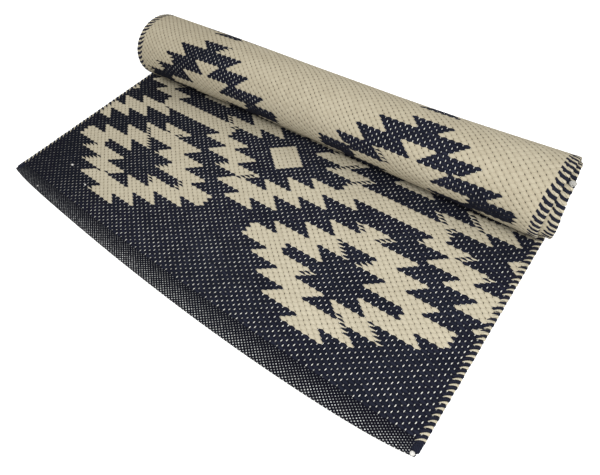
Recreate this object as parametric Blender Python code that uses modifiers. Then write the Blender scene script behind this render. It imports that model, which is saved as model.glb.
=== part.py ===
"""Reversible cotton kilim rug, part laid flat and part rolled up from its far end.

The rug is one woven panel, so it is one closed sheet. Its flat run lies on the floor. Past the floor
line it turns up on its far side, over the top and down its near side, and goes on winding inwards.
+X runs across the rug, +Y from the front edge to the roll, +Z is up. The origin is at the middle of
the underside of the whole thing. Units are metres.
"""

import bmesh
import bpy
import numpy as np

RUG_WIDTH = 1.20
RUG_LENGTH = 1.70
CLOTH_THICKNESS = 0.005

# The roll at five places from the left selvedge (-1) to the right one (1): where its lowest line lies
# behind the front edge, and the half depth and half height of its outermost turn
ROLL_COLUMNS = ("across", "floor_line", "half_depth", "half_height")
ROLL_ROWS = np.array([
    (-1.0, 0.536, 0.0950, 0.0860),
    (-0.5, 0.545, 0.0905, 0.0845),
    (0.0, 0.550, 0.0890, 0.0820),
    (0.5, 0.551, 0.0890, 0.0825),
    (1.0, 0.549, 0.0880, 0.0900),
])

# Distance between the middles of two turns of the cloth, at four places round the roll
TURN_SPACING_AT_FLOOR = 0.007
TURN_SPACING_FAR_SIDE = 0.008
TURN_SPACING_AT_TOP = 0.0095
TURN_SPACING_NEAR_SIDE = 0.011
SPACING_GROWTH = 0.20
TUCK_ANGLE = np.radians(225.0)

# How far the cloth has slid to the right at each turn of the roll: most on the near side of the second turn
SLIDE_TURNS = (0.5, 0.75, 1.0, 1.3, 1.5, 1.75, 1.9, 2.1, 2.4)
SLIDE_SIZES = (0.0, -0.003, 0.0, 0.004, 0.010, 0.024, 0.021, 0.014, 0.010)

# The cloth is drawn in where it leaves the floor
LEFT_DRAW_IN = 0.046
RIGHT_DRAW_IN = 0.011
DRAW_IN_LENGTH = 0.30
DRAW_IN_BEFORE_ROLL = 0.05

# The front edge bows outwards between its corners, and the bow fades out along the cloth
FRONT_BOW = 0.026
FRONT_BOW_LEAN = 0.008
CORNER_SETBACK = 0.007
CORNER_POWER = 12
BOW_FADE_LENGTH = 0.30

FLAT_ROWS = 6
FLAT_ROWS_END = 0.49
ROLL_ROW_SPACING = 0.012
COLUMNS_ACROSS = 18
ANGLE_SAMPLES = 4000
MOST_TURNS = 3.4

NAVY = (0.022, 0.026, 0.045, 1.0)
WOVEN_ROUGHNESS = 0.95

FULL_TURN = 2.0 * np.pi


def smooth_step(share):
    """A rise from 0 to 1 with level ends."""
    share = np.clip(share, 0.0, 1.0)
    return share * share * (3.0 - 2.0 * share)


def roll_size(across, column):
    """One column of the roll's table at any place across, as a smooth curve through the five rows."""
    places = ROLL_ROWS[:, 0]
    values = ROLL_ROWS[:, ROLL_COLUMNS.index(column)]
    slopes = np.gradient(values, places)
    low = np.clip(np.searchsorted(places, across, side="right") - 1, 0, len(places) - 2)
    step = places[low + 1] - places[low]
    share = (across - places[low]) / step
    squared, cubed = share ** 2, share ** 3
    return ((2.0 * cubed - 3.0 * squared + 1.0) * values[low]
            + (cubed - 2.0 * squared + share) * step * slopes[low]
            + (3.0 * squared - 2.0 * cubed) * values[low + 1]
            + (cubed - squared) * step * slopes[low + 1])


def turn_spacing(angle, turn):
    """Distance from one turn to the next at an angle that is 0 at the floor and a quarter turn at the far side."""
    grown = 1.0 + SPACING_GROWTH * turn
    far, top, near = (grown * size for size in
                      (TURN_SPACING_FAR_SIDE, TURN_SPACING_AT_TOP, TURN_SPACING_NEAR_SIDE))
    mean = (TURN_SPACING_AT_FLOOR + far + top + near) / 4.0
    up_and_down = (TURN_SPACING_AT_FLOOR - top) / 2.0
    side_to_side = (far - near) / 2.0
    oval = (TURN_SPACING_AT_FLOOR + top - far - near) / 4.0
    return mean + up_and_down * np.cos(angle) + side_to_side * np.sin(angle) + oval * np.cos(2.0 * angle)


def inset(angle):
    """How far the cloth lies inside the outermost turn, which tucks in under itself as it closes."""
    turn = np.floor(angle / FULL_TURN)
    rest = angle - turn * FULL_TURN
    depth = TURN_SPACING_AT_FLOOR * smooth_step((rest - TUCK_ANGLE) / (FULL_TURN - TUCK_ANGLE))
    for inner in range(int(MOST_TURNS)):
        depth = depth + np.where(turn > inner, turn_spacing(rest, inner), 0.0)
    return depth


def winding(across):
    """Angles, lengths of cloth and (y, z) places along the roll's middle line at one place across."""
    angle = np.linspace(0.0, FULL_TURN * MOST_TURNS, ANGLE_SAMPLES)
    half_cloth = CLOTH_THICKNESS / 2.0
    half_depth = roll_size(across, "half_depth") - half_cloth
    half_height = roll_size(across, "half_height") - half_cloth
    depth = inset(angle)
    y = (half_depth - depth) * np.sin(angle)
    z = half_cloth + half_height - (half_height - depth) * np.cos(angle)
    steps = np.hypot(np.diff(y), np.diff(z))
    return angle, np.concatenate([[0.0], np.cumsum(steps)]), y, z


def front_bow(across, along):
    """How far the cloth lies in front of the line between its two front corners."""
    parabola = (FRONT_BOW + FRONT_BOW_LEAN * across) * (1.0 - across ** 2)
    corner = CORNER_SETBACK * (1.0 - np.abs(across) ** CORNER_POWER)
    fade = np.clip(1.0 - along / BOW_FADE_LENGTH, 0.0, 1.0) ** 2
    return (parabola + corner) * fade


def cloth_column(across, along):
    """Middle-surface points of the cloth at one place across, for distances along it from the front edge."""
    floor_line = roll_size(across, "floor_line")
    angle, length, y, z = winding(across)
    wound = along - floor_line
    turned = np.interp(wound, length, angle)
    drawn_in = smooth_step((wound + DRAW_IN_BEFORE_ROLL) / DRAW_IN_LENGTH)
    slid = np.interp(turned / FULL_TURN, SLIDE_TURNS, SLIDE_SIZES)
    left = -RUG_WIDTH / 2.0 + LEFT_DRAW_IN * drawn_in + slid
    right = RUG_WIDTH / 2.0 - RIGHT_DRAW_IN * drawn_in + slid
    points = np.empty((len(along), 3))
    points[:, 0] = left + (right - left) * (across + 1.0) / 2.0
    points[:, 1] = np.where(wound < 0.0, along, floor_line + np.interp(wound, length, y))
    points[:, 1] -= front_bow(across, along)
    points[:, 2] = np.interp(wound, length, z)
    return points


def rows_along():
    """Distances from the front edge of the sheet's rows: a few on the floor, then even ones round the roll."""
    flat = np.linspace(0.0, FLAT_ROWS_END, FLAT_ROWS, endpoint=False)
    count = int(round((RUG_LENGTH - FLAT_ROWS_END) / ROLL_ROW_SPACING)) + 1
    return np.concatenate([flat, np.linspace(FLAT_ROWS_END, RUG_LENGTH, count)])


def make_cloth_mesh():
    """A grid whose points are moved onto the cloth's middle surface, centred over the origin."""
    along = rows_along()
    across = np.linspace(-1.0, 1.0, COLUMNS_ACROSS + 1)
    columns = np.stack([cloth_column(place, along) for place in across])
    low = columns.reshape(-1, 3).min(axis=0)
    high = columns.reshape(-1, 3).max(axis=0)
    # The roll's far side is half the cloth's thickness behind its middle surface
    high[1] += CLOTH_THICKNESS / 2.0
    columns[:, :, :2] -= ((low + high) / 2.0)[:2]

    grid = bmesh.new()
    bmesh.ops.create_grid(grid, x_segments=len(across) - 1, y_segments=len(along) - 1, size=0.5)
    for vertex in grid.verts:
        column = round((vertex.co.x + 0.5) * (len(across) - 1))
        row = round((vertex.co.y + 0.5) * (len(along) - 1))
        vertex.co = columns[column, row]
    mesh = bpy.data.meshes.new("kilim_rug")
    grid.to_mesh(mesh)
    grid.free()
    mesh.shade_smooth()
    return mesh


def make_material():
    """Navy and cream cotton, seen as its main navy."""
    material = bpy.data.materials.new("woven_cotton")
    material.use_nodes = True
    shader = material.node_tree.nodes["Principled BSDF"]
    shader.inputs["Base Color"].default_value = NAVY
    shader.inputs["Roughness"].default_value = WOVEN_ROUGHNESS
    shader.inputs["Metallic"].default_value = 0.0
    return material


def make_rug():
    """The rug's one panel: the middle surface with the cloth's thickness put evenly on both sides."""
    collection = bpy.data.collections.new("kilim_rug")
    bpy.context.scene.collection.children.link(collection)
    rug = bpy.data.objects.new("rug_panel", make_cloth_mesh())
    collection.objects.link(rug)
    rug.data.materials.append(make_material())
    solidify = rug.modifiers.new("cloth", "SOLIDIFY")
    solidify.thickness = CLOTH_THICKNESS
    solidify.offset = 0.0
    solidify.use_even_offset = True
    solidify.use_quality_normals = True
    return rug


for leftover in list(bpy.data.objects):
    bpy.data.objects.remove(leftover)
make_rug()
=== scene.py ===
"""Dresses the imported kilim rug: its woven cloth, its looped selvedges, its yarn ends, and a plain studio.

The cloth is a double-faced cotton flatweave of navy and cream. Its weave is counted as a weaver counts it,
in beads across (one weft float each) and picks along (one row of floats each). Those two counts are the
cloth's own coordinates: they place the mesh's rows, and the materials chart the pattern with them.
"""

import logging
from dataclasses import dataclass, field
from enum import Enum
from typing import Sequence, Union

import bpy
import numpy as np
from mathutils import Matrix, Vector


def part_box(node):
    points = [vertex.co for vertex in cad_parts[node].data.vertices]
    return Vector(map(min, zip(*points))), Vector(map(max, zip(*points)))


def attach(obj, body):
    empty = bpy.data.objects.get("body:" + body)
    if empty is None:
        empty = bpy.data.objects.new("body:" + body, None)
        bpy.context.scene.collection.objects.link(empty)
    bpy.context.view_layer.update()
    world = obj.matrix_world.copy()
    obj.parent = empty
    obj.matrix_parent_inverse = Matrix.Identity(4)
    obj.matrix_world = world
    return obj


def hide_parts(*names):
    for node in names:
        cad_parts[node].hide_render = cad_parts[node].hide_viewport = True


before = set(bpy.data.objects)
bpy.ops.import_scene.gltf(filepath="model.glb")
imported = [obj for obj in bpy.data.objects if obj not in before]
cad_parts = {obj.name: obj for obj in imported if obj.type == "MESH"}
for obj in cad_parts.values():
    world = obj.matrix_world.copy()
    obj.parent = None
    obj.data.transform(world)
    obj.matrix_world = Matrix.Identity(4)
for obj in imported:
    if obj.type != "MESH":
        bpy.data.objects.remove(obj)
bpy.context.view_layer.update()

Array = np.ndarray
Socket = bpy.types.NodeSocket
Value = Union[float, Sequence[float], Socket]
Colour = tuple[float, float, float, float]

log = logging.getLogger("kilim_rug")

FULL_TURN = 2.0 * np.pi


class Side(Enum):
    """The two long edges of the cloth, by the sign of their place across."""

    LEFT = -1.0
    RIGHT = 1.0


class Ground(Enum):
    """Which colour fills the ground of one face of the cloth."""

    NAVY = "navy"
    CREAM = "cream"


def smooth_step(share: Array) -> Array:
    """A rise from 0 to 1 with level ends.

    Args:
        share: Values, of which 0 to 1 is the rise.

    Returns:
        Three times the square less twice the cube of the clipped values.
    """
    share = np.clip(share, 0.0, 1.0)
    return share * share * (3.0 - 2.0 * share)


def column_of(table: Array, names: tuple[str, ...], name: str) -> Array:
    """One named column of a small table."""
    return table[:, names.index(name)]


@dataclass(frozen=True)
class RolledShape:
    """The middle surface of the cloth: a flat run, then a roll wound up from the far end.

    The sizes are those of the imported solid, in metres.
    """

    width: float = 1.20
    length: float = 1.70
    thickness: float = 0.005
    columns: tuple[str, ...] = ("across", "floor_line", "half_depth", "half_height")
    rows: tuple[tuple[float, ...], ...] = (
        (-1.0, 0.536, 0.0950, 0.0860),
        (-0.5, 0.545, 0.0905, 0.0845),
        (0.0, 0.550, 0.0890, 0.0820),
        (0.5, 0.551, 0.0890, 0.0825),
        (1.0, 0.549, 0.0880, 0.0900),
    )
    spacing_at_floor: float = 0.007
    spacing_far_side: float = 0.008
    spacing_at_top: float = 0.0095
    spacing_near_side: float = 0.011
    spacing_growth: float = 0.20
    tuck_angle: float = np.radians(225.0)
    slide_turns: tuple[float, ...] = (0.5, 0.75, 1.0, 1.3, 1.5, 1.75, 1.9, 2.1, 2.4)
    slide_sizes: tuple[float, ...] = (0.0, -0.003, 0.0, 0.004, 0.010, 0.024, 0.021, 0.014, 0.010)
    left_draw_in: float = 0.046
    right_draw_in: float = 0.011
    draw_in_length: float = 0.30
    draw_in_before_roll: float = 0.05
    front_bow: float = 0.026
    front_bow_lean: float = 0.008
    corner_setback: float = 0.007
    corner_power: int = 12
    bow_fade_length: float = 0.30
    most_turns: float = 3.4
    angle_samples: int = 4000
    edge_samples: int = 400
    front_samples: int = 41

    def roll_size(self, across: Array, column: str) -> Array:
        """One column of the roll's table as a smooth curve.

        Args:
            across: Places across the cloth, from -1 to 1.
            column: The name of the column.

        Returns:
            A cubic Hermite curve through the rows, with the slopes that finite differences give.
        """
        table = np.array(self.rows)
        places = column_of(table, self.columns, "across")
        values = column_of(table, self.columns, column)
        slopes = np.gradient(values, places)
        low = np.clip(np.searchsorted(places, across, side="right") - 1, 0, len(places) - 2)
        step = places[low + 1] - places[low]
        share = (across - places[low]) / step
        squared, cubed = share ** 2, share ** 3
        return ((2.0 * cubed - 3.0 * squared + 1.0) * values[low]
                + (cubed - 2.0 * squared + share) * step * slopes[low]
                + (3.0 * squared - 2.0 * cubed) * values[low + 1]
                + (cubed - squared) * step * slopes[low + 1])

    def turn_spacing(self, angle: Array, turn: int) -> Array:
        """Distance from one turn to the next.

        Args:
            angle: The place round the roll, 0 at the floor and a quarter turn at the far side.
            turn: The number of the turn, counted inwards from 0.

        Returns:
            A mean, two first waves and one second wave, which pass through the four named spacings.
        """
        grown = 1.0 + self.spacing_growth * turn
        far = grown * self.spacing_far_side
        top = grown * self.spacing_at_top
        near = grown * self.spacing_near_side
        mean = (self.spacing_at_floor + far + top + near) / 4.0
        up_and_down = (self.spacing_at_floor - top) / 2.0
        side_to_side = (far - near) / 2.0
        oval = (self.spacing_at_floor + top - far - near) / 4.0
        return mean + up_and_down * np.cos(angle) + side_to_side * np.sin(angle) + oval * np.cos(2.0 * angle)

    def inset(self, angle: Array) -> Array:
        """How far the cloth lies inside the outermost turn, which tucks in under itself as it closes."""
        turn = np.floor(angle / FULL_TURN)
        rest = angle - turn * FULL_TURN
        tuck = smooth_step((rest - self.tuck_angle) / (FULL_TURN - self.tuck_angle))
        depth = self.spacing_at_floor * tuck
        for inner in range(int(self.most_turns)):
            depth = depth + np.where(turn > inner, self.turn_spacing(rest, inner), 0.0)
        return depth

    def winding(self, across: float) -> tuple[Array, Array, Array, Array]:
        """The roll's middle line at one place across.

        Args:
            across: The place across the cloth, from -1 to 1.

        Returns:
            Angles, lengths of cloth from the floor line, and the y and z of each sample.
        """
        angle = np.linspace(0.0, FULL_TURN * self.most_turns, self.angle_samples)
        half_cloth = self.thickness / 2.0
        half_depth = self.roll_size(across, "half_depth") - half_cloth
        half_height = self.roll_size(across, "half_height") - half_cloth
        depth = self.inset(angle)
        y = (half_depth - depth) * np.sin(angle)
        z = half_cloth + half_height - (half_height - depth) * np.cos(angle)
        steps = np.hypot(np.diff(y), np.diff(z))
        return angle, np.concatenate([[0.0], np.cumsum(steps)]), y, z

    def bow(self, across: Array, along: Array) -> Array:
        """How far the cloth lies in front of the line between its two front corners."""
        parabola = (self.front_bow + self.front_bow_lean * across) * (1.0 - across ** 2)
        corner = self.corner_setback * (1.0 - np.abs(across) ** self.corner_power)
        fade = np.clip(1.0 - along / self.bow_fade_length, 0.0, 1.0) ** 2
        return (parabola + corner) * fade

    def column(self, across: float, along: Array) -> Array:
        """Points of the middle surface at one place across.

        Args:
            across: The place across the cloth, from -1 to 1.
            along: Distances along the cloth from its front edge.

        Returns:
            One row of x, y, z for each distance: flat up to the floor line, wound past it.
        """
        floor_line = self.roll_size(across, "floor_line")
        angle, length, y, z = self.winding(across)
        wound = along - floor_line
        turned = np.interp(wound, length, angle)
        drawn_in = smooth_step((wound + self.draw_in_before_roll) / self.draw_in_length)
        slid = np.interp(turned / FULL_TURN, self.slide_turns, self.slide_sizes)
        left = -self.width / 2.0 + self.left_draw_in * drawn_in + slid
        right = self.width / 2.0 - self.right_draw_in * drawn_in + slid
        points = np.empty((len(along), 3))
        points[:, 0] = left + (right - left) * (across + 1.0) / 2.0
        points[:, 1] = np.where(wound < 0.0, along, floor_line + np.interp(wound, length, y))
        points[:, 1] -= self.bow(across, along)
        points[:, 2] = np.interp(wound, length, z)
        return points

    def shift(self) -> Array:
        """From the cloth's own frame, whose origin is between its front corners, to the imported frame."""
        low, high = (np.array(corner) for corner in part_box("rug_panel"))
        along = np.linspace(0.0, self.length, self.edge_samples)
        edges = np.concatenate([self.column(side.value, along)[:, 0] for side in Side])
        across_middle = (edges.min() + edges.max()) / 2.0
        places = np.linspace(-1.0, 1.0, self.front_samples)
        front = (-self.bow(places, np.zeros_like(places))).min()
        return np.array([(low[0] + high[0]) / 2.0 - across_middle, low[1] - front, 0.0])


@dataclass(frozen=True)
class PickPlan:
    """Where each pick of the weave lies along the cloth.

    Picks are counted from the inner edge of the front end band. The weft is beaten less tightly towards
    the roll, so the pitch between picks changes slowly, and the picks bow a little towards the front.
    """

    shape: RolledShape
    picks: int = 240
    beads: int = 71
    columns: tuple[str, ...] = ("pick", "pitch")
    rows: tuple[tuple[float, ...], ...] = (
        (0.0, 0.00642),
        (26.0, 0.00660),
        (38.0, 0.00725),
        (50.0, 0.00725),
        (60.0, 0.00700),
        (78.0, 0.00700),
        (100.0, 0.00650),
        (150.0, 0.00660),
        (165.0, 0.00715),
        (400.0, 0.00715),
    )
    first_pick_place: float = 0.0110
    bowed: float = 0.0158
    bow_last_pick: float = 62.0
    roll_lift: float = 0.002
    roll_bowed: float = 0.016
    roll_bow_middle: float = 0.17
    roll_bow_start: float = 82.0
    roll_bow_picks: float = 28.0
    left_spread: float = 0.006
    left_spread_on_roll: float = 0.014
    right_spread: float = 0.004
    far_fade_picks: float = 40.0
    band_picks: float = 6.4
    rows_in_band: int = 10
    fine_step: float = 0.25
    bow_rounds: int = 8

    def place(self, pick: Array) -> Array:
        """Distance of a pick from the line of the front corners, on the cloth's middle.

        Args:
            pick: Pick numbers, whole or not.

        Returns:
            The running sum of the pitch, which is a broken line through the table's rows.
        """
        table = np.array(self.rows)
        picks = column_of(table, self.columns, "pick")
        fine = np.arange(0.0, picks[-1], self.fine_step)
        pitch = np.interp(fine, picks, column_of(table, self.columns, "pitch"))
        sums = np.concatenate([[0.0], np.cumsum((pitch[1:] + pitch[:-1]) / 2.0 * self.fine_step)])
        return self.first_pick_place + np.interp(pick, fine, sums)

    def along(self, across: float, pick: Array) -> Array:
        """Distance along the cloth, from its front edge, of picks at one place across.

        Args:
            across: The place across the cloth, from -1 to 1.
            pick: Pick numbers; those below 0 or past the last pick lie in the end bands.

        Returns:
            The distances. The shape's own bow is undone by repeated substitution, so that the
            picks lie on the floor where the plan puts them.
        """
        inner = np.clip(pick, 0.0, self.picks)
        lifted = self.bowed * across ** 2 * np.clip(1.0 - inner / self.bow_last_pick, 0.0, 1.0)
        rolled = self.roll_lift + self.roll_bowed * (across - self.roll_bow_middle) ** 2
        rolled = rolled * smooth_step((inner - self.roll_bow_start) / self.roll_bow_picks)
        rolled = rolled * np.clip((self.picks - inner) / self.far_fade_picks, 0.0, 1.0)
        wanted = self.place(inner) + lifted + rolled
        along = wanted
        for _ in range(self.bow_rounds):
            along = wanted + self.shape.bow(np.float64(across), along)
        far_share = np.clip((pick - self.picks) / self.band_picks, 0.0, 1.0)
        near_share = np.clip(-pick / self.band_picks, 0.0, 1.0)
        return along * (1.0 - near_share) + (self.shape.length - along) * far_share

    def spread(self, across: Array, pick: Array) -> Array:
        """How far the warps stand aside of even spacing: none at the selvedges and on the middle line.

        Args:
            across: Places across, from -1 to 1.
            pick: Pick numbers.

        Returns:
            A half wave in each half of the cloth, which spreads both halves outwards.
        """
        rolled = smooth_step((pick - self.roll_bow_start) / self.roll_bow_picks)
        left = self.left_spread + (self.left_spread_on_roll - self.left_spread) * rolled
        right = self.right_spread * (1.0 - rolled)
        return np.sin(np.pi * np.clip(across, -1.0, 1.0)) * np.where(across < 0.0, left, right)

    def row_picks(self) -> Array:
        """Pick numbers of the mesh's rows: a few in each end band and one at the middle of each pick."""
        band = np.linspace(-self.band_picks, 0.0, self.rows_in_band)
        middles = np.arange(self.picks) + 0.5
        far = self.picks + np.linspace(0.0, self.band_picks, self.rows_in_band)
        return np.concatenate([band, middles, far])

    def surface(self, across: Array, pick: Array) -> tuple[Array, Array, Array, Array]:
        """The middle surface and its directions on a grid of places.

        Args:
            across: Places across, from -1 to 1.
            pick: Pick numbers.

        Returns:
            Points, and unit directions across, along and out of the face, each of shape
            (len(across), len(pick), 3).
        """
        points = np.stack([self.shape.column(place, self.along(place, pick)) for place in across])
        points[..., 0] += self.spread(across[:, None], pick[None, :])
        points += self.shape.shift()
        sideways = unit(np.gradient(points, axis=0))
        lengthways = unit(np.gradient(points, axis=1))
        outwards = unit(np.cross(sideways, lengthways))
        return points, sideways, lengthways, outwards


def unit(vectors: Array) -> Array:
    """The vectors at length 1."""
    return vectors / np.linalg.norm(vectors, axis=-1, keepdims=True)


@dataclass
class MeshParts:
    """Points, faces and material numbers gathered before one mesh is made."""

    name: str
    points: list[Array] = field(default_factory=list)
    faces: list[Array] = field(default_factory=list)
    slots: list[Array] = field(default_factory=list)
    count: int = 0

    def add(self, points: Array, faces: Array, slot: Union[int, Array]) -> None:
        """Adds a patch of mesh.

        Args:
            points: The patch's points, one row each.
            faces: Point numbers within the patch, one row a face.
            slot: The material number of the patch, or one for each face.
        """
        self.points.append(points)
        self.faces.append(faces + self.count)
        self.slots.append(np.broadcast_to(np.asarray(slot), (len(faces),)).astype(np.int32))
        self.count += len(points)

    def make(self, materials: Sequence[bpy.types.Material]) -> bpy.types.Object:
        """Makes the mesh and its object.

        Args:
            materials: The materials, in the order of their numbers.

        Returns:
            The object, smooth shaded, in the scene's collection.
        """
        points = np.concatenate(self.points)
        faces = np.concatenate(self.faces)
        corners = faces.shape[1]
        mesh = bpy.data.meshes.new(self.name)
        mesh.vertices.add(len(points))
        mesh.vertices.foreach_set("co", points.astype(np.float32).ravel())
        mesh.loops.add(faces.size)
        mesh.loops.foreach_set("vertex_index", faces.astype(np.int32).ravel())
        mesh.polygons.add(len(faces))
        mesh.polygons.foreach_set("loop_start", np.arange(0, faces.size, corners, dtype=np.int32))
        mesh.polygons.foreach_set("material_index", np.concatenate(self.slots))
        mesh.update(calc_edges=True)
        mesh.validate()
        mesh.shade_smooth()
        for material in materials:
            mesh.materials.append(material)
        piece = bpy.data.objects.new(self.name, mesh)
        bpy.context.scene.collection.objects.link(piece)
        return piece


def write_uv(mesh: bpy.types.Mesh, name: str, values: Array) -> None:
    """Gives a mesh a UV map from values held for its points."""
    layer = mesh.uv_layers.new(name=name)
    corners = np.empty(len(mesh.loops), dtype=np.int32)
    mesh.loops.foreach_get("vertex_index", corners)
    layer.data.foreach_set("uv", values[corners].astype(np.float32).ravel())


def tube_faces(steps: int, sides: int) -> Array:
    """Faces of a closed tube whose rings are numbered one after another.

    Args:
        steps: Number of rings.
        sides: Points in each ring.

    Returns:
        Triangles: two for each patch between rings, and a fan on each end ring's first point.
    """
    ring, place = np.meshgrid(np.arange(steps - 1), np.arange(sides), indexing="ij")
    a = (ring * sides + place).ravel()
    b = (ring * sides + (place + 1) % sides).ravel()
    c, d = b + sides, a + sides
    fan = np.arange(1, sides - 1)
    zero = np.zeros_like(fan)
    last = (steps - 1) * sides
    return np.concatenate([
        np.stack([a, b, c], 1),
        np.stack([a, c, d], 1),
        np.stack([zero, fan + 1, fan], 1),
        np.stack([zero, fan, fan + 1], 1) + last,
    ])


class Canvas:
    """A node tree with short calls that add nodes and link them."""

    def __init__(self, tree: bpy.types.NodeTree) -> None:
        """Keeps the tree that nodes go to."""
        self.tree = tree

    def node(self, kind: str, **settings: object) -> bpy.types.Node:
        """Adds a node and sets its named properties."""
        node = self.tree.nodes.new(kind)
        for name, value in settings.items():
            setattr(node, name, value)
        return node

    def feed(self, socket: Socket, value: Value) -> None:
        """Links a socket to another, or sets its own value."""
        if isinstance(value, bpy.types.NodeSocket):
            self.tree.links.new(value, socket)
        else:
            socket.default_value = value

    def math(self, operation: str, *values: Value, clamp: bool = False) -> Socket:
        """One Math node.

        Args:
            operation: The node's operation.
            values: Its inputs, in order.
            clamp: Whether the result is held between 0 and 1.

        Returns:
            The result's socket.
        """
        node = self.node("ShaderNodeMath", operation=operation, use_clamp=clamp)
        for socket, value in zip(node.inputs, values):
            self.feed(socket, value)
        return node.outputs[0]

    def plus(self, first: Value, second: Value) -> Socket:
        """The sum of two values."""
        return self.math("ADD", first, second)

    def minus(self, first: Value, second: Value, clamp: bool = False) -> Socket:
        """The first value less the second."""
        return self.math("SUBTRACT", first, second, clamp=clamp)

    def times(self, first: Value, second: Value, clamp: bool = False) -> Socket:
        """The product of two values."""
        return self.math("MULTIPLY", first, second, clamp=clamp)

    def scaled(self, value: Value, factor: Value, added: Value, clamp: bool = False) -> Socket:
        """The value times the factor, with another added."""
        return self.math("MULTIPLY_ADD", value, factor, added, clamp=clamp)

    def rise(self,value: Value, low: Value, high: Value) -> Socket:
        """A smooth rise from 0 at low to 1 at high."""
        node = self.node("ShaderNodeMapRange", interpolation_type="SMOOTHSTEP")
        for name, entry in (("Value", value), ("From Min", low), ("From Max", high)):
            self.feed(node.inputs[name], entry)
        return node.outputs["Result"]

    def vector(self, x: Value, y: Value, z: Value = 0.0) -> Socket:
        """A vector from three values."""
        node = self.node("ShaderNodeCombineXYZ")
        for socket, value in zip(node.inputs, (x, y, z)):
            self.feed(socket, value)
        return node.outputs[0]

    def split(self, vector: Socket) -> tuple[Socket, Socket, Socket]:
        """The three values of a vector."""
        node = self.node("ShaderNodeSeparateXYZ")
        self.feed(node.inputs[0], vector)
        return node.outputs[0], node.outputs[1], node.outputs[2]

    def mix(self, share: Value, first: Value, second: Value) -> Socket:
        """A colour between two colours."""
        node = self.node("ShaderNodeMix", data_type="RGBA")
        self.feed(node.inputs["Factor"], share)
        self.feed(node.inputs[6], first)
        self.feed(node.inputs[7], second)
        return node.outputs[2]

    def noise(self, vector: Socket, scale: float, detail: float = 2.0) -> Socket:
        """A noise texture's value, about 0.5 on average."""
        node = self.node("ShaderNodeTexNoise")
        self.feed(node.inputs["Vector"], vector)
        node.inputs["Scale"].default_value = scale
        node.inputs["Detail"].default_value = detail
        return node.outputs["Fac"]

    def random(self, vector: Socket) -> Socket:
        """One random value from 0 to 1 for each vector."""
        node = self.node("ShaderNodeTexWhiteNoise")
        self.feed(node.inputs["Vector"], vector)
        return node.outputs["Value"]

    def use(self, group: bpy.types.NodeTree, **values: Value) -> bpy.types.Node:
        """Places a node group, with values for the inputs whose names match, spaces as underscores."""
        node = self.node("ShaderNodeGroup")
        node.node_tree = group
        for name, value in values.items():
            self.feed(node.inputs[name.replace("_", " ")], value)
        return node


class Group(Canvas):
    """A shader node group under construction, with named inputs and outputs."""

    KINDS = {"value": "NodeSocketFloat", "vector": "NodeSocketVector"}

    def __init__(self, name: str, inputs: dict[str, str], outputs: dict[str, str]) -> None:
        """Starts the group.

        Args:
            name: The group's name.
            inputs: Kind of each input, by name.
            outputs: Kind of each output, by name.
        """
        super().__init__(bpy.data.node_groups.new(name, "ShaderNodeTree"))
        for in_out, sockets in (("INPUT", inputs), ("OUTPUT", outputs)):
            for title, kind in sockets.items():
                self.tree.interface.new_socket(name=title, in_out=in_out, socket_type=self.KINDS[kind])
        self.entry = self.node("NodeGroupInput")
        self.exit = self.node("NodeGroupOutput")

    def __getitem__(self, name: str) -> Socket:
        """The socket that brings in an input."""
        return self.entry.outputs[name]

    def put(self, name: str, value: Value) -> None:
        """Sends a value to an output."""
        self.feed(self.exit.inputs[name], value)


@dataclass(frozen=True)
class MotifBand:
    """One stepped band of a figure: the beads it spans from the figure's middle line.

    From its first pick on, counted from the figure's middle, the cream spans from inner to outer, and
    both grow by growth beads a pick. No cream is left out where inner is 0.
    """

    first_pick: int
    outer: float
    inner: float
    growth: float


@dataclass(frozen=True)
class Draft:
    """The rug's weaving draft: where its figures stand and how wide each of their bands is."""

    repeat: float = 37.0
    large_middle: float = -0.25
    mirror_pick: float = 115.0
    large_from_mirror: float = 55.0
    small_from_large: float = 31.0
    chart_size: float = 40.0
    diamond: float = 3.0
    small: tuple[MotifBand, ...] = (
        MotifBand(1, 14.5, 8.5, 0.0),
        MotifBand(3, 14.5, 3.0, 0.0),
        MotifBand(4, 10.5, 3.5, 0.5),
        MotifBand(8, 7.0, 0.5, 0.5),
        MotifBand(13, 4.5, 0.0, 0.5),
        MotifBand(18, 1.5, 0.0, 0.5),
        MotifBand(22, 0.0, 0.0, 0.0),
    )
    large: tuple[MotifBand, ...] = (
        MotifBand(1, 20.0, 10.5, 0.0),
        MotifBand(4, 12.5, 6.0, 0.5),
        MotifBand(8, 9.0, 3.0, 0.5),
        MotifBand(13, 6.5, 0.5, 0.5),
        MotifBand(17, 3.5, 0.0, 0.5),
        MotifBand(22, 1.0, 0.0, 0.5),
        MotifBand(26, 0.0, 0.0, 0.0),
    )


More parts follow.
